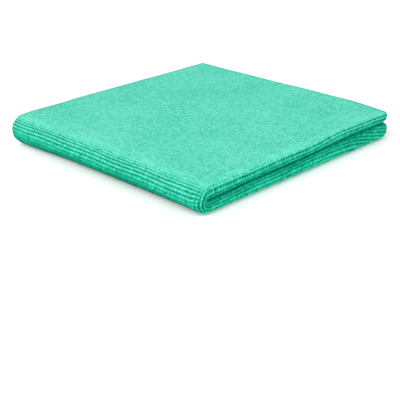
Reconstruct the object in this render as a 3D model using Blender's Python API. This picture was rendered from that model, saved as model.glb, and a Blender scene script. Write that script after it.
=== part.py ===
"""A microfibre cleaning cloth, folded in half twice into a flat square pad.

Metres, +Z up. The origin is on the surface that the pad lies on, under the middle of the pad.
The first fold closes the cloth into a pair of plies and runs along Y at the +X side. The second
fold doubles the pair and runs along X at the -Y side, so the +X side shows the first fold twice,
one bulge above the other, joined round the corner. The free edges lie at -X and +Y.

A place on the cloth is given by two distances on its outer face: across the first fold and
across the second, both zero in the middle of the bend. Negative is the side that ends up outside
at the first fold, and the lower side at the second.
"""

import math

import bmesh
import bpy

# The pad
PAD_WIDTH = 0.1515          # along X, from the free edges to the first fold
PAD_DEPTH = 0.1555          # along Y, from the second fold to the free edges
PLY = 0.0037                # thickness of the cloth, its looped pile included
PLY_GAP = 0.0009            # air between two plies
CORNER_RADIUS = 0.006       # plan radius of the corner where both folds meet

# The knitted ribs, which open up where the cloth bends
RIB_PITCH = 0.00195
RIB_RISE = 0.00025          # how far a crest stands proud, and a groove lies below
FIRST_GROOVE = RIB_PITCH / 2    # distance of a groove from the middle of the first bend
SECOND_GROOVE = 0.0005          # and from the middle of the second

# The free edges
EDGE_ZONE = 0.0040          # strip along a free edge where the cloth thins
EDGE_THICKNESS = 0.62       # thickness left at the very edge, as a share of the ply
EDGE_BULGE = 0.0008         # how far the middle of the rim stands out

# How far the edge of each ply falls short of the pad's full size, at -X and at +Y
EDGE_SHORTFALL = {
    "bottom": (0.0008, 0.0000),
    "lower inner": (0.0016, 0.0006),
    "upper inner": (0.0004, 0.0013),
    "top": (0.0000, 0.0000),
}

# How the pad has settled
CROWN = 0.0007              # rise of the top in the middle
BACK_RISE = 0.0003          # rise of the top at the free corner
FIRST_DROOP = 0.0012        # the top's shoulder rounds off this much lower at the first fold
SECOND_DROOP = 0.0009       # and this much lower at the second
SHOULDER = 0.017            # how far in from a fold the shoulder begins
GAP_DROP = 0.0023           # the gap between the bulges lies this much lower at the corner
GAP_RISE = 0.0006           # and this much higher at the free edges
GAP_REACH = 0.045           # how far in from the first fold that shift is felt

# Mesh lines
FLAT_LINES = 7              # evenly spaced lines across the flat part of a ply
RIB_LINES = 2               # lines for each rib, on its crest and in its groove
RIBBED_TURN = 0.96          # share of each bend that has such lines

PAIR = 2 * PLY + PLY_GAP
PAD_HEIGHT = 2 * PAIR + PLY_GAP
FIRST_RADIUS = PAIR / 2
SECOND_RADIUS = PAD_HEIGHT / 2
FIRST_QUARTER = FIRST_RADIUS * math.pi / 2
SECOND_QUARTER = SECOND_RADIUS * math.pi / 2
FIRST_AXIS_X = PAD_WIDTH / 2 - RIB_RISE - FIRST_RADIUS
SECOND_AXIS_Y = RIB_RISE + SECOND_RADIUS - PAD_DEPTH / 2
WIDTH_RUN = PAD_WIDTH - RIB_RISE - FIRST_RADIUS - EDGE_BULGE
DEPTH_RUN = PAD_DEPTH - RIB_RISE - SECOND_RADIUS - EDGE_BULGE

CLOTH_COLOUR = (0.105, 0.640, 0.470, 1.0)
CLOTH_ROUGHNESS = 0.95


def smooth_step(low, high, value):
    """Rise smoothly from 0 at low to 1 at high."""
    share = min(max((value - low) / (high - low), 0.0), 1.0)
    return share * share * (3 - 2 * share)


def mix(first, second, share):
    return first + (second - first) * share


def bend(distance, depth, radius):
    """Follow a strip that runs in, turns half a circle and runs back above itself.

    Returns how far the point reaches past the axis of the turn, and its height.
    """
    quarter = radius * math.pi / 2
    if distance <= -quarter:
        return distance + quarter, depth
    if distance >= quarter:
        return quarter - distance, 2 * radius - depth
    angle = distance / radius
    arm = radius - depth
    return arm * math.cos(angle), radius + arm * math.sin(angle)


def ply_value(column, across_first, across_second):
    """Read one column of the edge table for the ply that holds a place on the cloth."""
    inner = smooth_step(-FIRST_QUARTER, FIRST_QUARTER, across_first)
    upper = smooth_step(-SECOND_QUARTER, SECOND_QUARTER, across_second)
    outside = mix(EDGE_SHORTFALL["bottom"][column], EDGE_SHORTFALL["top"][column], upper)
    inside = mix(
        EDGE_SHORTFALL["lower inner"][column],
        EDGE_SHORTFALL["upper inner"][column],
        upper,
    )
    return mix(outside, inside, inner)


def rib_wave(distance, groove):
    """Height of the ribs across a fold: a plain wave with a groove at the given distance."""
    return -RIB_RISE * math.cos(2 * math.pi * (distance - groove) / RIB_PITCH)


def first_ribs(across_first):
    """Height of the ribs that run along the first fold; they fade before the plies lie flat."""
    turn = abs(across_first) / FIRST_QUARTER
    fade = 1 - smooth_step(0.60, 0.95, turn)
    return fade * rib_wave(across_first, FIRST_GROOVE)


def second_ribs(across_first, across_second):
    """Height of the ribs that run along the second fold, on the outer ply alone."""
    turn = abs(across_second) / SECOND_QUARTER
    fade = 1 - smooth_step(0.78, 0.97, turn)
    outer = 1 - smooth_step(-0.9 * FIRST_QUARTER, 0.1 * FIRST_QUARTER, across_first)
    return fade * outer * rib_wave(across_second, SECOND_GROOVE)


def edge_thinning(across_first, across_second):
    """Share of the ply's thickness that is left near the free edges."""
    to_width_end = WIDTH_RUN + FIRST_QUARTER - abs(across_first)
    to_depth_end = DEPTH_RUN + SECOND_QUARTER - abs(across_second)
    share = smooth_step(0.0, EDGE_ZONE, min(to_width_end, to_depth_end))
    return mix(EDGE_THICKNESS, 1.0, share)


def round_corner(x, y):
    """Round the pad's plan where both folds meet."""
    corner_x = PAD_WIDTH / 2 - CORNER_RADIUS
    corner_y = CORNER_RADIUS - PAD_DEPTH / 2
    if x <= corner_x or y >= corner_y:
        return x, y
    past_x = (x - corner_x) / CORNER_RADIUS
    past_y = (corner_y - y) / CORNER_RADIUS
    round_x = past_x * math.sqrt(max(1 - past_y * past_y / 2, 0.0))
    round_y = past_y * math.sqrt(max(1 - past_x * past_x / 2, 0.0))
    return corner_x + round_x * CORNER_RADIUS, corner_y - round_y * CORNER_RADIUS


def settle(x, y, z):
    """Let the pad sag and swell a little, with its underside still flat."""
    across = x / (PAD_WIDTH / 2)
    along = y / (PAD_DEPTH / 2)
    level = min(z / PAD_HEIGHT, 1.0)
    crown = CROWN * max(1 - across * across, 0.0) * max(1 - along * along, 0.0)
    crown += BACK_RISE * smooth_step(-0.3, 1.0, -across) * smooth_step(-0.3, 1.0, along)
    near_first = 1 - smooth_step(0.0, SHOULDER, PAD_WIDTH / 2 - x)
    near_second = 1 - smooth_step(0.0, SHOULDER, y + PAD_DEPTH / 2)
    droop = mix(SECOND_DROOP * near_second, FIRST_DROOP, near_first)
    above_gap = smooth_step(PAD_WIDTH / 2 - GAP_REACH, PAD_WIDTH / 2, x)
    gap_shift = above_gap * mix(-GAP_DROP, GAP_RISE, smooth_step(-0.95, 0.95, along))
    height = z * (1 + crown / PAD_HEIGHT)
    height += gap_shift * math.sin(math.pi * level) - droop * level * level
    x, y = round_corner(x, y)
    return x, y, height


def cloth_point(across_first, across_second, share, bulge=0.0):
    """Fold one point of the cloth; share is 0 on the outer face and 1 on the inner one."""
    thinned = 0.5 + (share - 0.5) * edge_thinning(across_first, across_second)
    on_outer_face = 1.0 if share == 0 else 0.0
    depth = thinned * PLY - on_outer_face * first_ribs(across_first)
    reach, height = bend(across_first, depth, FIRST_RADIUS)
    if reach < 0:
        reach *= 1 - ply_value(0, across_first, across_second) / WIDTH_RUN
        reach -= bulge * smooth_step(WIDTH_RUN - EDGE_ZONE, WIDTH_RUN, -reach)
    x = FIRST_AXIS_X + reach
    height -= on_outer_face * second_ribs(across_first, across_second)
    reach, z = bend(across_second, height, SECOND_RADIUS)
    if reach < 0:
        reach *= 1 - ply_value(1, across_first, across_second) / DEPTH_RUN
        reach -= bulge * smooth_step(DEPTH_RUN - EDGE_ZONE, DEPTH_RUN, -reach)
    y = SECOND_AXIS_Y - reach
    return settle(x, y, z)


def fold_lines(quarter, run, groove):
    """Distances across a fold at which the mesh has a line: dense on the bend, sparse beyond."""
    step = RIB_PITCH / RIB_LINES
    most = math.ceil(quarter / step)
    bent = [groove + step * index for index in range(-most, most + 1)]
    bent = [distance for distance in bent if abs(distance) < RIBBED_TURN * quarter]
    flat = run - EDGE_ZONE
    straight = [quarter + flat * index / FLAT_LINES for index in range(FLAT_LINES + 1)]
    straight += [quarter + run - EDGE_ZONE / 2, quarter + run]
    return [-distance for distance in reversed(straight)] + bent + straight


def cloth_mesh():
    """Build the cloth as one closed sheet: its outer face, its inner face and its rim."""
    first = fold_lines(FIRST_QUARTER, WIDTH_RUN, FIRST_GROOVE)
    second = fold_lines(SECOND_QUARTER, DEPTH_RUN, SECOND_GROOVE)
    last_row = len(first) - 1
    last_column = len(second) - 1
    body = bmesh.new()

    def layer(share):
        return [[body.verts.new(cloth_point(u, w, share)) for w in second] for u in first]

    outer = layer(0)
    inner = layer(1)
    for row in range(last_row):
        for column in range(last_column):
            for grid in (outer, inner):
                body.faces.new((
                    grid[row][column],
                    grid[row + 1][column],
                    grid[row + 1][column + 1],
                    grid[row][column + 1],
                ))

    border = [(row, 0) for row in range(last_row)]
    border += [(last_row, column) for column in range(last_column)]
    border += [(row, last_column) for row in range(last_row, 0, -1)]
    border += [(0, column) for column in range(last_column, 0, -1)]
    middle = [
        body.verts.new(cloth_point(first[row], second[column], 0.5, EDGE_BULGE))
        for row, column in border
    ]
    for place, (row, column) in enumerate(border):
        following = (place + 1) % len(border)
        next_row, next_column = border[following]
        for grid in (outer, inner):
            body.faces.new((
                grid[row][column],
                grid[next_row][next_column],
                middle[following],
                middle[place],
            ))
    bmesh.ops.recalc_face_normals(body, faces=body.faces)
    mesh = bpy.data.meshes.new("cloth")
    body.to_mesh(mesh)
    body.free()
    mesh.shade_smooth()
    return mesh


def cloth_material():
    material = bpy.data.materials.new("mint_microfibre")
    material.use_nodes = True
    surface = material.node_tree.nodes["Principled BSDF"]
    surface.inputs["Base Color"].default_value = CLOTH_COLOUR
    surface.inputs["Roughness"].default_value = CLOTH_ROUGHNESS
    surface.inputs["Metallic"].default_value = 0.0
    material.diffuse_color = CLOTH_COLOUR
    return material


def clear_scene():
    for item in list(bpy.data.objects):
        bpy.data.objects.remove(item)


def main():
    clear_scene()
    cloth = bpy.data.objects.new("cloth", cloth_mesh())
    cloth.data.materials.append(cloth_material())
    bpy.context.scene.collection.objects.link(cloth)


main()
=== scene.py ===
"""The looks of a microfibre cleaning cloth, folded in half twice into a flat square pad.

The cloth is one sheet, closed all round: an outer face, an inner face and a rim. A place on it is
given by two distances on its outer face: across the first fold and across the second, both zero
in the middle of the bend. Negative is the side that ends up outside at the first fold, and the
lower side at the second.

The outer face is a knit of beads on a square grid. Where the cloth bends, the rows of beads part
into ribs along the fold. Where it lies flat, they close up into a fine even pile.
"""
import math

import bpy
import numpy as np
from mathutils import Matrix, Vector


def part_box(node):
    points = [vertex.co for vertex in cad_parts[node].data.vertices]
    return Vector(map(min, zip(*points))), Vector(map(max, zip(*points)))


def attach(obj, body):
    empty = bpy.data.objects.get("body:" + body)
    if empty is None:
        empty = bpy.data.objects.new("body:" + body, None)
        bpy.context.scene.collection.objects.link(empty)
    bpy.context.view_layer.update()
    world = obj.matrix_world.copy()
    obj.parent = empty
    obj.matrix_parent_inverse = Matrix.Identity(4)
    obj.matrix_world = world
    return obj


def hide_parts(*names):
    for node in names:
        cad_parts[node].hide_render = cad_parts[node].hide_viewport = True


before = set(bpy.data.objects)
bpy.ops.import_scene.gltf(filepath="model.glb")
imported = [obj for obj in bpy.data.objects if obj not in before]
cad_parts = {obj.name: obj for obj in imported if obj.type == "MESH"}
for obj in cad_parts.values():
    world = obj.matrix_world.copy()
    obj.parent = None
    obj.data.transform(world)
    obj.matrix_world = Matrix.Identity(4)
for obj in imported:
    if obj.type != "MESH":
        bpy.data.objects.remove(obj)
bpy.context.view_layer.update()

# ---------------------------------------------------------------- the pad
PAD_LOW, PAD_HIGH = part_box("cloth")
PAD_WIDTH = PAD_HIGH.x - PAD_LOW.x
PAD_DEPTH = PAD_HIGH.y - PAD_LOW.y
PLY = 0.00425               # the pile fills most of the air between the solid's plies
PLY_GAP = 0.00017
CORNER_RADIUS = 0.006
FIRST_SQUARENESS = 2.6      # 2 is a round bend; above it the bulge is flatter
SECOND_SQUARENESS = 2.1
TURN_STEPS = 400            # points along a bend's quarter when it is measured

# The free edges
EDGE_ZONE = 0.0040          # strip along a free edge where the cloth thins
EDGE_THICKNESS = 0.80       # thickness left at the very edge, as a share of the ply
EDGE_BULGE = 0.0014         # the pile rounds each free edge, this far out
EDGE_WAVES = (              # and no edge is straight: height, length over 2 pi and start of waves
    (0.00040, 0.0190, 0.7),
    (0.00020, 0.0067, 2.0),
)
EDGE_SHORTFALL = {          # how far each ply's edges lie in, across the first fold and the second
    "bottom": (0.0008, -0.0008),
    "lower inner": (0.0016, -0.0003),
    "upper inner": (0.0004, 0.0013),
    "top": (0.0000, 0.0000),
}
AT_EDGE = 1e-6              # a place this close to a free edge is on it

# How the pad has settled. A span is where a change begins and ends. Spans along or across the pad
# are in half depths or half widths from its middle.
CROWN = 0.0007              # rise of the top in the middle
BACK_RISE = 0.0002          # and at the free corner
BACK_RISE_ALONG = (-0.2, 1.0)
BACK_RISE_ACROSS = (-0.8, 0.6)  # counted towards -X
BACK_BOW = 0.0005           # the free edges at the back bow out in the middle
FIRST_DROOP = 0.0012        # the top's shoulder rounds off this much lower at the first fold
SECOND_DROOP = 0.0009       # and this much lower at the second
SHOULDER = 0.017            # how far in from a fold the shoulder begins
FAR_SHOULDER = 0.032        # farther in at the far end of the first fold
FAR_SHOULDER_ALONG = (0.2, 1.0)
GAP_DROP = 0.0013           # the gap between the bulges lies this much lower at the corner
GAP_RISE = 0.0013           # and this much higher at the free edges
GAP_ALONG = (-0.95, 0.95)
GAP_WAVE = 0.0003           # nor is it straight between the two
GAP_WAVE_PEAK = -0.43       # along the pad, as is the wave's length
GAP_WAVE_LENGTH = 0.92
GAP_REACH = 0.045           # how far in from the first fold that shift is felt
FIRST_LIFT = 0.0003         # along both folds the pad's lower side curls up and in
FIRST_TUCK = 0.0007
SECOND_LIFT = 0.0007
SECOND_TUCK = 0.0015
SECOND_TUCK_ACROSS = (-0.95, -0.30)  # the second fold's free end doesn't curl
TUCK_LEVEL = (0.04, 0.55)   # shares of the pad's height between which the curl dies out
TUCK_REACH = 0.014          # how far in from a fold it is felt

# ---------------------------------------------------------------- the knit
PITCH = 0.00195             # from bead to bead, both ways
RIB_RISE = 0.00042          # how far the crest of an open rib stands proud
FLAT_OPENING = 0.19         # relief that is left where the cloth lies flat, as a share of that
FIRST_BEADS = {             # relief from bead to bead along the first fold's ribs, likewise
    "lower": 0.36,          # on the lower bulge
    "near": 0.55,           # on the upper one, by the corner
    "far": 0.32,            # and by its free end
}
NEAR_TO_FAR = (0.30, 0.70)  # shares of the upper bulge's length between which they change
SECOND_BEADS = 0.28         # and along the second fold's ribs
BEAD_UNEVEN = 0.00015       # spread of the beads' own heights
BEAD_TABLE = 512            # the beads' random numbers repeat after this many
BEAD_SEED = 11
COLUMN_WAVES = (            # sideways drift of the columns of beads, as no knit lies straight
    (0.00016, 0.0071, 1.1),
    (0.00022, 0.0193, 0.4),
)
ROW_WAVES = (               # and of its rows
    (0.00014, 0.0063, 2.3),
    (0.00024, 0.0172, 1.7),
)
STRAIGHT_ZONE = 0.012       # the drift dies out over this distance towards a free edge

# Where ribs open. Fades are distances from the middle of a bend, and spans are shares of the
# quarter of a bend, across the first fold or the second.
FIRST_FADE = {"lower": (0.0052, 0.0078), "upper": (0.0012, 0.0046)}
FIRST_INWARD_SPAN = (0.72, 0.97)  # they close towards the inside of the first fold
SECOND_FADE = {"lower": (-0.0015, 0.0070), "upper": (0.0060, 0.0130)}
SECOND_STOP = (-0.0048, -0.0010)  # the second fold's ribs end between these places across the first
BULGE_SPAN = (-0.5, 0.5)    # here the lower bulge of the first fold becomes the upper one
RELIEF_SPAN = (-0.5, 1.0)   # the relief dies out towards the inside of the first fold

# Where crests and grooves lie
FIRST_MIDDLE = -0.00045     # place of a crest on the first bend
RIB_SPREAD = 0.35           # the ribs beside it are this much wider than on the flat
SPREAD_REACH = 0.0015
SECOND_GROOVE = -0.00269    # place of a groove on the second bend, before the ribs slide up
RIB_SLIDE = 0.00152         # the ribs slide up round the second bend, so they crowd at its top
SLIDE_MIDDLE = 0.00596
SLIDE_REACH = 0.00423
RIB_SKEW = (0.0009, -0.0010)  # how far inward the upper bulge's ribs lie, before they cross over
SKEW_SHARES = (0.52, 0.76)  # and after; they cross between these shares of the fold's length
SKEW_START = (-0.010, 0.005)  # places across the second fold between which the skew sets in
RIB_DIP = 0.0010            # and they dip again at the free end
DIP_REACH = 0.016
RIB_FAN = 0.0075            # the lower bulge's ribs swing down this far at its free end
FAN_REACH = 0.060           # over this length
FAN_SPREAD = (0.012, 0.045)  # all of it this close to the first fold, and none of it this far off

# Painted shade of the knit, with a tone that differs at random from bead to bead. 1 is the bottom of
# an open groove. Spans are shares of the quarter of a bend.
MEAN_GROOVE = 0.36          # painted shade of a groove and its crest on average
FAR_GROOVE_SHADE = 1.80            # the upper bulge's grooves are painted this many times as dark at its free end
FAR_GROOVE_SHADE_SHARES = (0.60, 0.95)  # the change lies between these shares of its length
BEAD_TONE = {"first": 0.36, "second": 0.18}  # spread from bead to bead along the open ribs
CORNER_GROOVE_SHADE = 0.90         # extra painted shade in the grooves where the two folds meet
CORNER_FIRST_SPAN = (0.3, 1.3)  # it ends here, across the first fold
CORNER_SECOND_SPAN = (0.3, 0.9)  # and across the second
LOW_EVEN = 0.75             # the ribs low down on the second bend lose this share of their contrast
LOW_EVEN_SPAN = (0.00, 0.22)
LOW_SHADE = 0.92            # extra darkness low down on the second bend
LOW_SHADE_TOP = (-0.65, 0.18)
LOW_SHADE_FOOT = (-2.0, -1.2)  # it ends again under the pad
LOW_SHADE_SIDE = (0.5, 1.5)  # and towards the first fold
OVERHANG_SHADE = 0.48       # how much darker the lower bulge is under the upper one
OVERHANG_SPAN = (-0.3, 0.5)
INSIDE_SPAN = (0.4, 0.9)    # the painted shade is darkest between the two bulges
EDGE_SHADE = 0.45           # extra darkness along the free edges
EDGE_SHADE_REACH = 0.0016
INNER_SHADE = 0.3          # painted shade of the inner face, which lies between the plies
RIM_SHADE = 0.45           # and of the rim
RIM_TONE = 0.40             # spread of its painted shade, from the beads' crests to the hollows between them
RIM_BEADS = 0.30            # how much of its bulge comes and goes with them
RIM_UNEVEN = 0.5            # and how much of that differs from bead to bead

# Painted light: the pile's green is painted whiter where it faces up towards the lamps
FACING_SPAN = (-0.80, 0.80)
UNDER_PAINTED_LIGHT = 0.25          # painted light below the second fold, which lies in shade
UNDER_SPAN = (-1.0, 0.6)
RIM_PAINTED_LIGHT = 0.40            # painted light in the middle of the rim, as a share of that at its sides

# ---------------------------------------------------------------- lines of the mesh
LINES = 6                   # lines to a bead; each patch of faces takes every so many of them
TIGHT = 2                   # three lines to a bead
EVEN = 3                    # two
SPARSE = 6                  # one
HIDDEN = 18                 # one to three beads
FIRST_FINE = (-4, 3)        # ribs about the middle of the first bend that have every line
SECOND_FINE = (-5, 9)       # and about the middle of the second
FAN_FINE = 7                # the first bend's go on to here where the ribs fan out
EDGE_BEADS = 3              # beads in the strip along a free edge
MOST_BEADS = 200            # more than lie between a fold and a free edge
RIM_TURNS = 8               # steps round the rim of a free edge

# ---------------------------------------------------------------- the sheet laid flat, for baking
BAKE_SCALE = 3.08           # part of the square to a metre of cloth
BAKE_CHARTS = {             # low corner of each part of the sheet in the square, and its scale
    "outer": ((0.010, 0.010), BAKE_SCALE),
    "tucked": ((0.612, 0.390), 1.85),
    "inner": ((0.612, 0.010), 1.15),
}
BAKE_RIM = (0.515, 0.010)   # low corner of the first of the rim's four strips
BAKE_RIM_STEP = 0.022
BAKE_RIM_WIDTH = 0.016

# ---------------------------------------------------------------- what follows from these sizes
PAIR = 2 * PLY + PLY_GAP
PAD_HEIGHT = 2 * PAIR + PLY_GAP
FIRST_RADIUS = PAIR / 2
SECOND_RADIUS = PAD_HEIGHT / 2
FIRST_QUARTER = FIRST_RADIUS * math.pi / 2
SECOND_QUARTER = SECOND_RADIUS * math.pi / 2
FIRST_AXIS_X = PAD_WIDTH / 2 - RIB_RISE - FIRST_RADIUS
SECOND_AXIS_Y = RIB_RISE + SECOND_RADIUS - PAD_DEPTH / 2
WIDTH_RUN = PAD_WIDTH - RIB_RISE - FIRST_RADIUS - EDGE_BULGE
DEPTH_RUN = PAD_DEPTH - RIB_RISE - SECOND_RADIUS - EDGE_BULGE
FIRST_END = FIRST_QUARTER + WIDTH_RUN
SECOND_END = SECOND_QUARTER + DEPTH_RUN

# ---------------------------------------------------------------- the photograph's view
IMAGE_SIDE = 400            # pixels
FOCAL_LENGTH = 924          # pixels
SENSOR = 36.0               # millimetres
CAMERA_DISTANCE = 0.5302
CAMERA_NEAR = 0.01
CAMERA_AZIMUTH = 45.378     # degrees, as are the next two
CAMERA_ELEVATION = 23.643
CAMERA_ROLL = -0.872
CAMERA_DROP = 0.0335        # the pad lies above the middle of the picture

# ---------------------------------------------------------------- colours, grain and light
# The crest's and the hollow's greens each come in a shaded and a lit copy, mixed by the painted light.
# The hollow's dark green is painted shade deep in a groove.
CREST = {"shaded": (0.016, 0.690, 0.455, 1.0), "lit": (0.158, 0.640, 0.484, 1.0)}
HOLLOW = {"shaded": (0.000, 0.150, 0.070, 1.0), "lit": (0.001, 0.220, 0.124, 1.0)}
SLOPE = (0.000, 0.672, 0.462, 1.0)  # purer green, part of the way down from a crest into a groove's painted shade
DEEPEST_GROOVE_SHADE = 0.95         # how far towards the hollow's colour an open groove's painted shade goes
BEAD_GRAIN = 0.13           # how far a bead's own tone goes either way
BEAD_STRAY = 0.75           # how far those tones stray from the square grid
PILE_GRAIN = 0.29           # the same of the pile within a bead
PILE_NOISE = (1.70, 2.0, 0.7)  # its scale to a bead, detail and roughness
PILE_VALUES = (0.25, 0.75)  # the noise's values at the two ends of that tone
CLOUD_GRAIN = 0.05          # and of large soft patches
CLOUD_NOISE = (0.05, 1.0, 0.5)
CLOUD_VALUES = (0.30, 0.70)
PILE_SURFACE = {
    "Roughness": 0.92,
    "Specular IOR Level": 0.10,
    "Specular Tint": (0.05, 1.0, 0.75, 1.0),
    "Sheen Weight": 0.12,
    "Sheen Roughness": 0.55,
    "Sheen Tint": (0.08, 1.0, 0.80, 1.0),
}
FUZZ_STRENGTH = 0.6
FUZZ_HEIGHT = 0.00025
FUZZ_NOISE = (2.2, 3.0, 0.6)

FLOOR_HALF = 3.0
FLOOR_DROP = 0.0002
FLOOR_WHITE = (0.93, 0.93, 0.93, 1.0)
FLOOR_BOUNCE = (0.14, 0.50, 0.40, 1.0)  # the light that it sends up under the cloth is green
FLOOR_SURFACE = {
    "Roughness": 1.0,
    "Specular IOR Level": 0.0,
    "Emission Color": (1.0, 1.0, 1.0, 1.0),
    "Emission Strength": 0.14,
}
SKY = 0.82
LIGHT_DISTANCE = 2.5
LIGHT_SIZE = 1.5
LIGHTS = {                  # direction and power
    "key": ((0.0, -0.78, 0.70), 35.0),
    "fill": ((0.80, -0.32, 0.08), 39.0),
}

BEADS = np.random.default_rng(BEAD_SEED).random((BEAD_TABLE, BEAD_TABLE))


# ---------------------------------------------------------------- shape of the folded cloth
def smooth_step(low, high, value):
    """Rise smoothly from 0 at low to 1 at high."""
    share = np.clip((value - low) / (high - low), 0.0, 1.0)
    return share * share * (3 - 2 * share)


def mix(first, second, share):
    """Go from the first value to the second by a share."""
    return first + (second - first) * share


def waves(terms, along):
    """Sum of a few long waves, each given by its height, its length over 2 pi and its start."""
    return sum(height * np.sin(along / length + start) for height, length, start in terms)


def quarter_turn(squareness):
    """A quarter of a superellipse: shares of its length, with the reach and rise there."""
    angle = np.linspace(0.0, math.pi / 2, TURN_STEPS)
    reach = np.cos(angle) ** (2 / squareness)
    reach[-1] = 0.0
    rise = np.sin(angle) ** (2 / squareness)
    length = np.concatenate(([0.0], np.cumsum(np.hypot(np.diff(reach), np.diff(rise)))))
    return length / length[-1], reach, rise


FIRST_TURN = quarter_turn(FIRST_SQUARENESS)
SECOND_TURN = quarter_turn(SECOND_SQUARENESS)


def bend(distance, depth, radius, turn):
    """Follow a strip that runs in, turns over and runs back above itself.

    Returns how far the point reaches past the axis of the turn, and its height.
    """
    quarter = radius * math.pi / 2
    lengths, reaches, rises = turn
    share = np.minimum(np.abs(distance) / quarter, 1.0)
    arm = radius - depth
    beyond = np.maximum(np.abs(distance) - quarter, 0.0)
    reach = arm * np.interp(share, lengths, reaches) - beyond
    return reach, radius + arm * np.interp(share, lengths, rises) * np.sign(distance)


def ply_value(column, across_first, across_second):
    """Read one column of the edge table for the ply that holds a place on the cloth."""
    inner = smooth_step(-FIRST_QUARTER, FIRST_QUARTER, across_first)
    upper = smooth_step(-SECOND_QUARTER, SECOND_QUARTER, across_second)
    outside = mix(EDGE_SHORTFALL["bottom"][column], EDGE_SHORTFALL["top"][column], upper)
    inside = mix(
        EDGE_SHORTFALL["lower inner"][column],
        EDGE_SHORTFALL["upper inner"][column],
        upper,
    )
    return mix(outside, inside, inner)


def edge_thinning(across_first, across_second):
    """Share of the ply's thickness that is left near the free edges."""
    to_width_end = FIRST_END - np.abs(across_first)
    to_depth_end = SECOND_END - np.abs(across_second)
    share = smooth_step(0.0, EDGE_ZONE, np.minimum(to_width_end, to_depth_end))
    return mix(EDGE_THICKNESS, 1.0, share)


def round_corner(x, y):
    """Round the pad's plan where both folds meet."""
    corner_x = PAD_WIDTH / 2 - CORNER_RADIUS
    corner_y = CORNER_RADIUS - PAD_DEPTH / 2
    past_x = np.maximum(x - corner_x, 0.0) / CORNER_RADIUS
    past_y = np.maximum(corner_y - y, 0.0) / CORNER_RADIUS
    inside = (past_x > 0) & (past_y > 0)
    round_x = past_x * np.sqrt(np.maximum(1 - past_y * past_y / 2, 0.0))
    round_y = past_y * np.sqrt(np.maximum(1 - past_x * past_x / 2, 0.0))
    return (
        np.where(inside, corner_x + round_x * CORNER_RADIUS, x),
        np.where(inside, corner_y - round_y * CORNER_RADIUS, y),
    )


def settle(x, y, z):
    """Let the pad sag and swell a little, with its underside still flat."""
    across = x / (PAD_WIDTH / 2)
    along = y / (PAD_DEPTH / 2)
    level = np.minimum(z / PAD_HEIGHT, 1.0)
    crown = CROWN * np.maximum(1 - across**2, 0.0) * np.maximum(1 - along**2, 0.0)
    crown += (
        BACK_RISE * smooth_step(*BACK_RISE_ACROSS, -across) * smooth_step(*BACK_RISE_ALONG, along)
    )
    shoulder = mix(SHOULDER, FAR_SHOULDER, smooth_step(*FAR_SHOULDER_ALONG, along))
    near_first = 1 - smooth_step(0.0, shoulder, PAD_WIDTH / 2 - x)
    near_second = 1 - smooth_step(0.0, SHOULDER, y + PAD_DEPTH / 2)
    droop = mix(SECOND_DROOP * near_second, FIRST_DROOP, near_first)
    above_gap = smooth_step(PAD_WIDTH / 2 - GAP_REACH, PAD_WIDTH / 2, x)
    wave = 1 + np.cos(2 * math.pi * (along - GAP_WAVE_PEAK) / GAP_WAVE_LENGTH)
    gap_shift = mix(-GAP_DROP, GAP_RISE, smooth_step(*GAP_ALONG, along)) + GAP_WAVE * wave
    gap_shift *= above_gap
    height = z * (1 + crown / PAD_HEIGHT)
    height += gap_shift * np.sin(math.pi * level) - droop * level**2
    low = 1 - smooth_step(*TUCK_LEVEL, level)
    first_low = low * (1 - smooth_step(0.0, TUCK_REACH, PAD_WIDTH / 2 - x))
    second_low = low * (1 - smooth_step(0.0, TUCK_REACH, y + PAD_DEPTH / 2))
    second_low *= smooth_step(*SECOND_TUCK_ACROSS, across)
    height += np.maximum(FIRST_LIFT * first_low, SECOND_LIFT * second_low)
    bow = BACK_BOW * smooth_step(0.0, 1.0, along) * np.maximum(1 - across**2, 0.0)
    x, y = round_corner(x, y)
    x = x - FIRST_TUCK * first_low
    y = y + SECOND_TUCK * second_low + bow
    return x, y, np.maximum(height, 0.0)


def upper_bulge(across_second):
    """0 on the lower bulge of the first fold and 1 on the upper one."""
    return smooth_step(*BULGE_SPAN, across_second / SECOND_QUARTER)


def openings(across_first, across_second):
    """How far the ribs along each fold are open, from 0 where the cloth lies flat to 1."""
    upper = upper_bulge(across_second)
    fade_start = mix(FIRST_FADE["lower"][0], FIRST_FADE["upper"][0], upper)
    fade_end = mix(FIRST_FADE["lower"][1], FIRST_FADE["upper"][1], upper)
    inward = across_first > 0
    fade_start = np.where(inward, FIRST_INWARD_SPAN[0] * FIRST_QUARTER, fade_start)
    fade_end = np.where(inward, FIRST_INWARD_SPAN[1] * FIRST_QUARTER, fade_end)
    first = 1 - smooth_step(fade_start, fade_end, np.abs(across_first))
    above = 1 - smooth_step(*SECOND_FADE["upper"], across_second)
    below = 1 - smooth_step(*SECOND_FADE["lower"], -across_second)
    second = above * below * (1 - smooth_step(*SECOND_STOP, across_first))
    return first, second


def painted_light(across_first, across_second, share=0.0):
    """Painted light: 1 where the pile faces up to the lamps and its green is painted whiter, 0 where
    it is turned down.

    The cloth below the second fold is painted as lying in the shade of what is above it.
    """
    first = np.clip(-across_first / FIRST_QUARTER, -1.0, 1.0)
    second = np.clip(across_second / SECOND_QUARTER, -1.0, 1.0)
    facing = np.sin(second * math.pi / 2) * np.sin(first * math.pi / 2) * math.cos(share * math.pi)
    return mix(UNDER_PAINTED_LIGHT, smooth_step(*FACING_SPAN, facing), smooth_step(*UNDER_SPAN, second))


def bead_profile(phase):
    """0 in a groove, where the phase is whole, and 1 on the crest midway."""
    return np.abs(np.sin(math.pi * phase))


def bead_number(phase_first, phase_second):
    """A random number of the bead that a place lies on."""
    column, row = (np.floor(phase).astype(int) % BEAD_TABLE for phase in (phase_first, phase_second))
    return BEADS[column, row]


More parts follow.
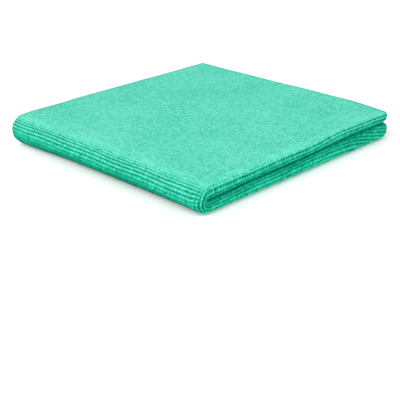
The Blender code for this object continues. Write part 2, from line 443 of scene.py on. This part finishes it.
def relief(phase_first, phase_second, across_first, across_second):
    """Rise of the knit above the cloth's outer face, and the painted shade and random tone there."""
    turn_first = across_first / FIRST_QUARTER
    turn_second = across_second / SECOND_QUARTER
    length = across_second / SECOND_END
    upper = upper_bulge(across_second)
    bead = bead_number(phase_first, phase_second)
    column = bead_profile(phase_first)
    row = bead_profile(phase_second)

    first_open, second_open = openings(across_first - skew(across_second), across_second)
    along = np.maximum(first_open, second_open)
    tone = mix(BEAD_TONE["second"], BEAD_TONE["first"], first_open)
    first_open = np.maximum(first_open, mix(FLAT_OPENING, SECOND_BEADS, along))
    upper_beads = mix(FIRST_BEADS["near"], FIRST_BEADS["far"], smooth_step(*NEAR_TO_FAR, length))
    beads = mix(FIRST_BEADS["lower"], upper_beads, upper)
    second_open = np.maximum(second_open, mix(FLAT_OPENING, beads, along))

    rise = first_open * (2 * column - 1) + second_open * (2 * row - 1)
    rise -= (1 - along) * (first_open + second_open)
    underneath = (across_second < -SECOND_QUARTER) & (across_first < -FIRST_QUARTER)
    uneven = BEAD_UNEVEN * (bead - np.where(underneath, 1.0, 0.5)) * row * column
    visible = 1 - smooth_step(*RELIEF_SPAN, turn_first)

    # Painted shade: the grooves of open ribs are darkened, more at the upper bulge's free end and
    # where the two folds meet, and the beads' random tone is added.
    corner = 1 - smooth_step(*CORNER_FIRST_SPAN, np.abs(turn_first))
    corner *= 1 - smooth_step(*CORNER_SECOND_SPAN, np.abs(turn_second))
    groove_shade = mix(1.0, FAR_GROOVE_SHADE, smooth_step(*FAR_GROOVE_SHADE_SHARES, length) * along)
    groove_shade += CORNER_GROOVE_SHADE * corner
    even = LOW_EVEN * (1 - smooth_step(*LOW_EVEN_SPAN, turn_second)) * (1 - corner)
    painted_shade_and_tone = first_open * (1 - column) * groove_shade
    painted_shade_and_tone += second_open * mix(1 - row, MEAN_GROOVE, even)
    painted_shade_and_tone += tone * along * (bead - 0.5)
    # Painted shade low down on the second bend, and along the free edges.
    low = 1 - smooth_step(*LOW_SHADE_TOP, turn_second)
    low *= smooth_step(*LOW_SHADE_FOOT, turn_second) * smooth_step(*LOW_SHADE_SIDE, -turn_first)
    painted_shade_and_tone += LOW_SHADE * low
    to_end = np.minimum(FIRST_END - np.abs(across_first), SECOND_END - np.abs(across_second))
    painted_shade_and_tone += EDGE_SHADE * (1 - smooth_step(0.0, EDGE_SHADE_REACH, to_end))

    # Painted shade under the upper bulge, darkest between the two bulges.
    overhung = smooth_step(*OVERHANG_SPAN, turn_first) * (1 - upper)
    inside = smooth_step(*INSIDE_SPAN, turn_first)
    bare = (1 - np.clip(painted_shade_and_tone, 0.0, 1.0)) * (1 - OVERHANG_SHADE * overhung) * (1 - inside)
    return (RIB_RISE * rise + uneven) * visible, 1 - bare


def cloth_point(across_first, across_second, share, rise=0.0, bulge=0.0):
    """Fold points of the cloth; share is 0 on the outer face and 1 on the inner one."""
    thinned = 0.5 + (share - 0.5) * edge_thinning(across_first, across_second)
    depth = thinned * PLY - rise
    reach, height = bend(across_first, depth, FIRST_RADIUS, FIRST_TURN)
    short = ply_value(0, across_first, across_second) + waves(EDGE_WAVES, across_second)
    near_edge = smooth_step(WIDTH_RUN - EDGE_ZONE, WIDTH_RUN, -reach)
    reach = np.where(reach < 0, reach * (1 - short / WIDTH_RUN) - bulge * near_edge, reach)
    x = FIRST_AXIS_X + reach
    reach, z = bend(across_second, height, SECOND_RADIUS, SECOND_TURN)
    short = ply_value(1, across_first, across_second) + waves(EDGE_WAVES, across_first)
    near_edge = smooth_step(DEPTH_RUN - EDGE_ZONE, DEPTH_RUN, -reach)
    reach = np.where(reach < 0, reach * (1 - short / DEPTH_RUN) - bulge * near_edge, reach)
    y = SECOND_AXIS_Y - reach
    return np.stack(settle(x, y, z), axis=-1)


# ---------------------------------------------------------------- the mesh
def stretched(places, origin, end):
    """Stretch a run of lines a little, so that it ends exactly at a free edge."""
    farthest = places[np.argmax(np.abs(places - origin))]
    return origin + (places - origin) * (end - origin) / (farthest - origin)


class Lines:
    """Lines across one fold: where they lie and their phase in the knit's grid of beads."""

    def __init__(self, end, fine, place):
        beads = np.arange(-MOST_BEADS, MOST_BEADS + 1)
        low = int(beads[np.argmin(np.abs(place(beads) + end))])
        high = int(beads[np.argmin(np.abs(place(beads) - end))])
        start, stop = ((bead - low) * LINES for bead in fine)
        self.phase = np.arange(low * LINES, high * LINES + 1) / LINES
        self.at = place(self.phase)
        self.at[:start] = stretched(self.at[:start], self.at[start], -end)
        self.at[stop + 1:] = stretched(self.at[stop + 1:], self.at[stop], end)
        self.fine = (start, stop)
        self.last = len(self.phase) - 1


def first_place(phase):
    """Place across the first fold of a phase in the knit."""
    flat = PITCH * (phase + 0.5)
    spread = RIB_SPREAD * np.exp(-(flat**2) / (2 * SPREAD_REACH**2))
    return FIRST_MIDDLE + flat * (1 + spread)


def second_place(phase):
    """Place across the second fold of a phase in the knit."""
    flat = PITCH * phase
    slide = RIB_SLIDE * np.exp(-((flat - SLIDE_MIDDLE) ** 2) / (2 * SLIDE_REACH**2))
    return SECOND_GROOVE + flat + slide


def fan(across_first, across_second):
    """How far the lower bulge's ribs have swung towards the underside near its free end."""
    share = np.clip((-across_second - (SECOND_END - FAN_REACH)) / FAN_REACH, 0.0, 1.0)
    near = 1 - smooth_step(*FAN_SPREAD, np.abs(across_first))
    return RIB_FAN * share**2 * near


def skew(across_second):
    """How far the upper bulge's ribs lie inward of their places across the first fold."""
    share = smooth_step(*SKEW_SHARES, across_second / SECOND_END)
    dip = RIB_DIP * smooth_step(SECOND_END - DIP_REACH, SECOND_END, across_second)
    return mix(*RIB_SKEW, share) * smooth_step(*SKEW_START, across_second) + dip


def patch_faces(used, first_lines, second_lines):
    """Faces of one patch between its lines; each takes in every used point along its sides."""
    faces = []
    for low_i, high_i in zip(first_lines, first_lines[1:]):
        for low_j, high_j in zip(second_lines, second_lines[1:]):
            corners = [(i, low_j) for i in range(low_i, high_i)]
            corners += [(high_i, j) for j in range(low_j, high_j)]
            corners += [(i, high_j) for i in range(high_i, low_i, -1)]
            corners += [(low_i, j) for j in range(high_j, low_j, -1)]
            faces.append([used[corner] for corner in corners if used[corner] >= 0])
    return faces


def stepped(start, stop, step):
    """Every so many lines from start on, and the last one."""
    return [*range(start, stop, step), stop]


def mark(used, patches):
    """Mark the points of a grid that the patches use."""
    for first_lines, second_lines in patches:
        used[np.ix_(first_lines, second_lines)] = 0


def outer_patches(first, second):
    """Patches of the outer face, each with its lines across the first and the second fold."""
    left, inward = first.fine
    low, high = second.fine
    edge = EDGE_BEADS * LINES
    far, end = first.last - edge, first.last
    back, top = second.last - edge, second.last
    fan_columns = inward + (FAN_FINE - FIRST_FINE[1]) * LINES
    fan_rows = LINES * round(FAN_REACH / PITCH)
    return [
        (stepped(0, left, TIGHT), stepped(low, high, 1)),
        (stepped(0, left, EVEN), stepped(high, top, EVEN)),
        (stepped(left, inward, 1), stepped(0, low, TIGHT)),
        (stepped(left, inward, 1), stepped(low, high, 1)),
        (stepped(left, inward, 1), stepped(high, top, TIGHT)),
        (stepped(edge, left, SPARSE), stepped(edge, low, SPARSE)),
        (stepped(0, edge, EVEN), stepped(edge, low, EVEN)),
        (stepped(0, left, EVEN), stepped(0, edge, EVEN)),
        (stepped(inward, fan_columns, 1), stepped(0, fan_rows, TIGHT)),
        (stepped(fan_columns, far, EVEN), stepped(0, edge, EVEN)),
        (stepped(fan_columns, far, HIDDEN), stepped(edge, fan_rows, HIDDEN)),
        (stepped(inward, far, HIDDEN), stepped(fan_rows, low, HIDDEN)),
        (stepped(inward, far, HIDDEN), stepped(low, high, EVEN)),
        (stepped(inward, far, HIDDEN), stepped(high, back, HIDDEN)),
        (stepped(inward, far, EVEN), stepped(back, top, EVEN)),
        (stepped(far, end, EVEN), stepped(0, top, EVEN)),
    ]


def inner_lines(lines):
    """The inner face's lines across one fold: it shows only at its edges."""
    start, stop = lines.fine
    edge = EDGE_BEADS * LINES
    chosen = [*stepped(0, edge, SPARSE), *stepped(edge, start, HIDDEN), *stepped(start, stop, EVEN)]
    chosen += stepped(stop, lines.last - edge, HIDDEN)
    chosen += stepped(lines.last - edge, lines.last, SPARSE)
    return sorted(set(chosen))


def border_of(used):
    """Grid places of the used points round the border, in order, and the side that each begins."""
    last_i, last_j = used.shape[0] - 1, used.shape[1] - 1
    ring = [((i, 0), 0) for i in range(last_i)]
    ring += [((last_i, j), 1) for j in range(last_j)]
    ring += [((i, last_j), 2) for i in range(last_i, 0, -1)]
    ring += [((0, j), 3) for j in range(last_j, 0, -1)]
    return zip(*((place, side) for place, side in ring if used[place] >= 0))


def numbered(used, start):
    """Give the used points of a grid their numbers, from start on."""
    chosen = np.argwhere(used >= 0)
    used[chosen[:, 0], chosen[:, 1]] = start + np.arange(len(chosen))
    return chosen


def sheet_layout(charts, flat, tucked_from):
    """Where corners of the two faces go in the square, from their places on the flat sheet."""
    layout = np.zeros_like(flat)
    for chart, (corner, scale) in BAKE_CHARTS.items():
        low = (tucked_from if chart == "tucked" else -FIRST_END, -SECOND_END)
        chosen = charts == chart
        layout[chosen] = np.array(corner) + scale * (flat[chosen] - np.array(low))
    return layout


def rim_layout(flat, sides, rows):
    """Where the corners of the rim's faces go in the square: a strip for each side of the sheet."""
    across = sides % 2
    numbers = np.arange(len(sides))
    end = np.where(across == 0, FIRST_END, SECOND_END)
    start = flat[numbers, across]
    stop = np.roll(flat, -1, axis=0)[numbers, across]
    low, high = (BAKE_RIM[1] + BAKE_SCALE * (along + end) for along in (start, stop))
    layout = []
    for row in range(rows):
        left = BAKE_RIM[0] + BAKE_RIM_STEP * sides + BAKE_RIM_WIDTH * row / rows
        right = left + BAKE_RIM_WIDTH / rows
        corners = ((left, high), (left, low), (right, low), (right, high))
        layout.append(np.stack([np.stack(corner, axis=1) for corner in corners], axis=1))
    return np.concatenate(layout).reshape(-1, 2)


def rim_rows():
    """Steps round the rim: the share of the ply's thickness, and how far the rim stands out."""
    turns = [math.pi * turn / RIM_TURNS for turn in range(1, RIM_TURNS)]
    return [((1 - math.cos(turn)) / 2, math.sin(turn)) for turn in turns]


def flat_places(first, second, grid):
    """Places on the flat sheet of points given by the numbers of their lines."""
    return np.stack([first.at[grid[:, 0]], second.at[grid[:, 1]]], axis=1)


def knit_places(first, second, grid):
    """Phases of points in the knit, and their places once its rows and columns have drifted."""
    phases = np.stack([first.phase[grid[:, 0]], second.phase[grid[:, 1]]], axis=1)
    across_first, across_second = flat_places(first, second, grid).T
    to_side = FIRST_END - np.abs(across_first)
    to_end = np.minimum(to_side, SECOND_END - np.abs(across_second))
    free = smooth_step(0.0, STRAIGHT_ZONE, to_end)
    shift = skew(across_second) - fan(across_first, across_second)
    moved_first = across_first + waves(COLUMN_WAVES, across_second) * free
    moved_first += shift * smooth_step(0.0, STRAIGHT_ZONE, to_side)
    moved_second = across_second + waves(ROW_WAVES, across_first) * free
    return phases, moved_first, moved_second


def outer_points(first, second, grid):
    """Points of the outer face, their painted shade and tone, their painted light and their phases in
    the knit.
    """
    phases, across_first, across_second = knit_places(first, second, grid)
    rise, painted_shade_and_tone = relief(*phases.T, across_first, across_second)
    points = cloth_point(across_first, across_second, np.zeros(len(grid)), rise)
    return points, painted_shade_and_tone, painted_light(across_first, across_second), phases


def inner_points(first, second, grid):
    """The same of the inner face."""
    phases, across_first, across_second = knit_places(first, second, grid)
    points = cloth_point(across_first, across_second, np.ones(len(grid)))
    painted_shade_and_tone = np.full(len(grid), INNER_SHADE)
    # one even painted shade all over the inner face
    return points, painted_shade_and_tone, painted_light(across_first, across_second, 1.0), phases


def rim_points(first, second, border, share, stand):
    """The same of one row round the rim; share and stand are as rim_rows gives them."""
    phases, across_first, across_second = knit_places(first, second, border)
    bead = np.maximum(bead_profile(phases[:, 0]), bead_profile(phases[:, 1]))
    bead = bead * mix(RIM_UNEVEN, 1.0, bead_number(*phases.T))
    bulge = EDGE_BULGE * stand * mix(1 - RIM_BEADS, 1.0, bead)
    points = cloth_point(across_first, across_second, np.full(len(border), share), 0.0, bulge)
    # The rim's painted shade, darker between its beads, and less painted light in its middle than at
    # its sides.
    painted_shade_and_tone = RIM_SHADE + RIM_TONE * (0.5 - bead)
    lit = painted_light(across_first, across_second, share) * mix(1.0, RIM_PAINTED_LIGHT, stand)
    outward = np.stack([
        np.sign(across_first) * (np.abs(across_first) >= FIRST_END - AT_EDGE),
        np.sign(across_second) * (np.abs(across_second) >= SECOND_END - AT_EDGE),
    ], axis=1)
    return points, painted_shade_and_tone, lit, phases + outward * share * PLY / PITCH


def sheet_faces(outer, outer_used, inner, inner_used, tucked_line):
    """Faces of the outer and the inner face, and the baking chart that each of their corners is on."""
    faces = []
    charts = []
    for columns, rows in outer:
        made = patch_faces(outer_used, columns, rows)
        faces += made
        chart = "outer" if columns[-1] <= tucked_line else "tucked"
        charts += [chart] * sum(map(len, made))
    made = [face[::-1] for face in patch_faces(inner_used, *inner)]
    faces += made
    charts += ["inner"] * sum(map(len, made))
    return faces, np.array(charts)


def rim_faces(rows):
    """Faces between rows of points that all run once round the rim."""
    faces = []
    for upper, lower in zip(rows, rows[1:]):
        for k in range(len(upper)):
            following = (k + 1) % len(upper)
            faces.append([upper[following], upper[k], lower[k], lower[following]])
    return faces


def finish_mesh(points, faces, painted_shade_and_tone, lit):
    """Make the mesh, with the painted shade and tone and the painted light of each point for the
    material.
    """
    mesh = bpy.data.meshes.new("folded_cloth")
    mesh.from_pydata(points, [], faces)
    mesh.validate()
    for name, values in (("painted_shade_and_tone", painted_shade_and_tone), ("painted_light", lit)):
        attribute = mesh.attributes.new(name, "FLOAT", "POINT")
        attribute.data.foreach_set("value", values.astype(np.float32))
    mesh.shade_smooth()
    return mesh


def build_cloth():
    """Make the folded cloth: its two faces, and the rim that joins them all round."""
    first = Lines(FIRST_END, FIRST_FINE, first_place)
    second = Lines(SECOND_END, SECOND_FINE, second_place)
    outer = outer_patches(first, second)
    inner = (inner_lines(first), inner_lines(second))
    outer_used = np.full((first.last + 1, second.last + 1), -1)
    inner_used = outer_used.copy()
    mark(outer_used, outer)
    mark(inner_used, [inner])
    border, sides = border_of(outer_used)
    ring = np.array(border)
    inner_used[ring[:, 0], ring[:, 1]] = 0
    outer_grid = numbered(outer_used, 0)
    inner_grid = numbered(inner_used, len(outer_grid))
    rim_start = len(outer_grid) + len(inner_grid)

    parts = [outer_points(first, second, outer_grid), inner_points(first, second, inner_grid)]
    parts += [rim_points(first, second, ring, share, stand) for share, stand in rim_rows()]
    points, painted_shade_and_tone, lit, knit = (np.concatenate(column) for column in zip(*parts))

    tucked_line = first.fine[1]
    faces, charts = sheet_faces(outer, outer_used, inner, inner_used, tucked_line)
    rows = [[outer_used[place] for place in border]]
    for row_start in range(rim_start, len(points), len(border)):
        rows.append(range(row_start, row_start + len(border)))
    rows.append([inner_used[place] for place in border])
    mesh = finish_mesh(points, faces + rim_faces(rows), painted_shade_and_tone, lit)

    corner_point = np.zeros(len(mesh.loops), np.int32)
    mesh.loops.foreach_get("vertex_index", corner_point)
    flat = flat_places(first, second, np.concatenate([outer_grid, inner_grid]))
    layout = np.concatenate([
        sheet_layout(charts, flat[corner_point[:len(charts)]], first.at[tucked_line]),
        rim_layout(flat_places(first, second, ring), np.array(sides), len(rows) - 1),
    ])
    for name, corners in (("Knit", knit[corner_point]), ("OFBake", layout)):
        uv_map = mesh.uv_layers.new(name=name)
        uv_map.uv.foreach_set("vector", corners.astype(np.float32).ravel())
    cloth = bpy.data.objects.new("folded_cloth", mesh)
    bpy.context.scene.collection.objects.link(cloth)
    return cloth


# ---------------------------------------------------------------- the material
class Nodes:
    """Short ways to add and join the nodes of one material."""

    def __init__(self, name, surface):
        self.material = bpy.data.materials.new(name)
        self.material.use_nodes = True
        self.tree = self.material.node_tree
        self.surface = self.tree.nodes["Principled BSDF"]
        for socket, value in surface.items():
            self.surface.inputs[socket].default_value = value

    def add(self, kind, output, values, **settings):
        """Add a node and return one of its outputs; values are what its inputs are given."""
        node = self.tree.nodes.new(kind)
        for setting, value in settings.items():
            setattr(node, setting, value)
        for socket, value in values.items():
            if isinstance(value, bpy.types.NodeSocket):
                self.tree.links.new(value, node.inputs[socket])
            else:
                node.inputs[socket].default_value = value
        return node.outputs[output]

    def attribute(self, name):
        return self.add("ShaderNodeAttribute", "Fac", {}, attribute_name=name)

    def noise(self, where, scale, detail, roughness):
        values = {"Vector": where, "Scale": scale, "Detail": detail, "Roughness": roughness}
        return self.add("ShaderNodeTexNoise", "Fac", values, noise_dimensions="2D")

    def ranged(self, value, low, high, from_low=0.0, from_high=1.0):
        """Map a value to the range from low to high."""
        source = {"Value": value, "From Min": from_low, "From Max": from_high}
        return self.add("ShaderNodeMapRange", "Result", {**source, "To Min": low, "To Max": high})

    def total(self, first, second):
        return self.add("ShaderNodeMath", "Value", {0: first, 1: second}, operation="ADD")

    def blend(self, factor, first, second):
        values = {"Factor": factor, "A": first, "B": second}
        return self.add("ShaderNodeMix", "Result", values, data_type="RGBA")

    def finish(self, socket, value):
        """Link a value to one of the surface's own inputs."""
        self.tree.links.new(value, self.surface.inputs[socket])


def knit_grain(nodes, knit):
    """Small shifts in tone: from bead to bead, within a bead, and in large soft patches."""
    beads = {"Vector": knit, "Scale": 1.0, "Randomness": BEAD_STRAY}
    bead_colour = nodes.add("ShaderNodeTexVoronoi", "Color", beads, voronoi_dimensions="2D")
    bead_tone = nodes.add("ShaderNodeSeparateColor", "Red", {"Color": bead_colour})
    pile_tone = nodes.noise(knit, *PILE_NOISE)
    cloud_tone = nodes.noise(knit, *CLOUD_NOISE)
    grain = nodes.total(
        nodes.ranged(bead_tone, -BEAD_GRAIN, BEAD_GRAIN),
        nodes.ranged(pile_tone, -PILE_GRAIN, PILE_GRAIN, *PILE_VALUES),
    )
    return nodes.total(grain, nodes.ranged(cloud_tone, -CLOUD_GRAIN, CLOUD_GRAIN, *CLOUD_VALUES))


def cloth_material():
    """The knit's greens, darkened by the painted shade and random tone of each place and made whiter
    by its painted light.
    """
    nodes = Nodes("mint_microfibre", PILE_SURFACE)
    knit = nodes.add("ShaderNodeUVMap", "UV", {}, uv_map="Knit")
    lit = nodes.attribute("painted_light")
    crest = nodes.blend(lit, CREST["shaded"], CREST["lit"])
    hollow = nodes.blend(lit, HOLLOW["shaded"], HOLLOW["lit"])
    painted_shade_and_tone = nodes.ranged(nodes.attribute("painted_shade_and_tone"), 0.0, DEEPEST_GROOVE_SHADE)
    # how far each place goes towards the hollow's colour: its painted shade, with the knit's random
    # grain
    depth = nodes.total(painted_shade_and_tone, knit_grain(nodes, knit))
    nodes.finish("Base Color", nodes.blend(depth, nodes.blend(depth, crest, SLOPE), hollow))

    height = nodes.noise(knit, *FUZZ_NOISE)
    fuzz = {"Strength": FUZZ_STRENGTH, "Distance": FUZZ_HEIGHT, "Height": height}
    nodes.finish("Normal", nodes.add("ShaderNodeBump", "Normal", fuzz))
    return nodes.material


# ---------------------------------------------------------------- the studio
def floor_material():
    """White to the camera, and green in the light that it sends back up."""
    nodes = Nodes("white_floor", FLOOR_SURFACE)
    seen = nodes.add("ShaderNodeLightPath", "Is Camera Ray", {})
    nodes.finish("Base Color", nodes.blend(seen, FLOOR_BOUNCE, FLOOR_WHITE))
    return nodes.material


def floor():
    """A plain white floor under the pad."""
    corners = [(-1, -1), (1, -1), (1, 1), (-1, 1)]
    mesh = bpy.data.meshes.new("floor")
    mesh.from_pydata([(x * FLOOR_HALF, y * FLOOR_HALF, 0) for x, y in corners], [], [(0, 1, 2, 3)])
    mesh.materials.append(floor_material())
    ground = bpy.data.objects.new("floor", mesh)
    ground.location.z = -FLOOR_DROP
    bpy.context.scene.collection.objects.link(ground)


def area_light(name, direction, power):
    """A soft square light that shines on the pad from a direction."""
    light = bpy.data.lights.new(name, "AREA")
    light.size = LIGHT_SIZE
    light.energy = power
    lamp = bpy.data.objects.new(name, light)
    towards = Vector(direction).normalized()
    lamp.location = towards * LIGHT_DISTANCE
    lamp.rotation_mode = "QUATERNION"
    lamp.rotation_quaternion = towards.to_track_quat("Z", "Y")
    bpy.context.scene.collection.objects.link(lamp)


def studio():
    """Plain soft light from all round, and two large lamps."""
    world = bpy.data.worlds.new("studio")
    world.use_nodes = True
    background = world.node_tree.nodes["Background"]
    background.inputs["Color"].default_value = (1.0, 1.0, 1.0, 1.0)
    background.inputs["Strength"].default_value = SKY
    bpy.context.scene.world = world
    for name, (direction, power) in LIGHTS.items():
        area_light(name, direction, power)
    bpy.context.scene.view_settings.view_transform = "Standard"
    bpy.context.scene.view_settings.look = "None"


def camera():
    """Look at the pad from the photograph's angle."""
    azimuth = math.radians(CAMERA_AZIMUTH)
    elevation = math.radians(CAMERA_ELEVATION)
    roll = math.radians(CAMERA_ROLL)
    back = Vector((
        math.sin(azimuth) * math.cos(elevation),
        -math.cos(azimuth) * math.cos(elevation),
        math.sin(elevation),
    ))
    level_right = (-back).cross(Vector((0, 0, 1))).normalized()
    level_up = level_right.cross(-back)
    right = level_right * math.cos(roll) + level_up * math.sin(roll)
    up = level_up * math.cos(roll) - level_right * math.sin(roll)
    lens = bpy.data.cameras.new("camera")
    lens.sensor_width = SENSOR
    lens.lens = FOCAL_LENGTH / IMAGE_SIDE * SENSOR
    lens.clip_start = CAMERA_NEAR
    eye = bpy.data.objects.new("camera", lens)
    turn = Matrix((right, up, back)).transposed().to_4x4()
    eye.matrix_world = Matrix.Translation(back * CAMERA_DISTANCE - up * CAMERA_DROP) @ turn
    bpy.context.scene.collection.objects.link(eye)
    bpy.context.scene.camera = eye


cloth = build_cloth()
cloth.data.materials.append(cloth_material())
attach(cloth, "root")
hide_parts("cloth")

floor()
studio()
camera()
